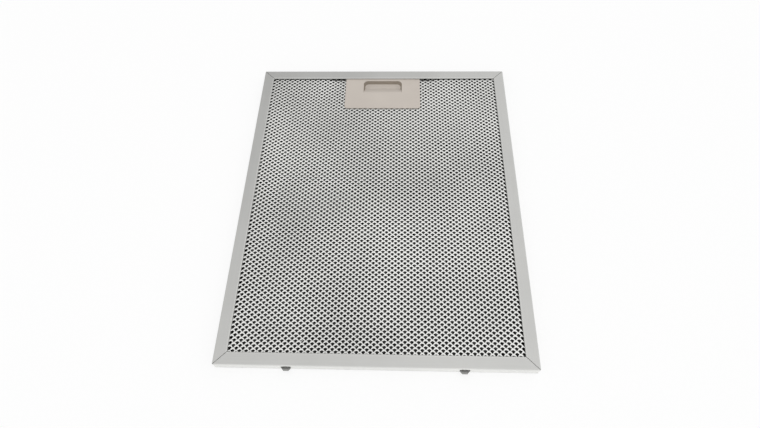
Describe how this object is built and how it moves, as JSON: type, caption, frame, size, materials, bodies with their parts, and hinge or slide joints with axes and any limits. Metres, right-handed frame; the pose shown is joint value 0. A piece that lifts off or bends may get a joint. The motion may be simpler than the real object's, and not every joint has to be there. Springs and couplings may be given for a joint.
{
  "type": "cooker hood grease filter",
  "caption": "Flat rectangular aluminium mesh filter in a folded channel frame, with fixed hooks on one edge and a sprung sliding latch handle on the other.",
  "frame": {"origin": "middle of the rear face, the face that goes into the hood", "axes": "+Y towards the handle edge, +Z out of the front face with the handle, +X across the filter"},
  "size_m": [0.26, 0.326, 0.009],
  "materials": {
    "frame_aluminium": "satin",
    "mesh_aluminium": "bright",
    "foil_aluminium": "bright",
    "handle_plastic": "matte",
    "spring_steel": "drawn wire"
  },
  "bodies": {
    "filter": {"frame_channel": "frame_aluminium", "front_mesh": "mesh_aluminium", "rear_mesh": "mesh_aluminium", "guide_tray": "handle_plastic", "latch_spring_left": "spring_steel", "latch_spring_right": "spring_steel", "filter_layer_1": "foil_aluminium", "filter_layer_2": "foil_aluminium", "filter_layer_3": "foil_aluminium", "filter_layer_4": "foil_aluminium", "filter_layer_5": "foil_aluminium"},
    "handle": {"handle_slide": "handle_plastic"}
  },
  "joints": [
    {"name": "latch_slide", "type": "slide", "parent": "filter", "child": "handle", "axis": [0, -1, 0], "range_m": [0, 0.005], "stiffness_N_per_m": 400, "springref_m": -0.004, "deforming": ["latch_spring_left", "latch_spring_right"]}
  ]
}
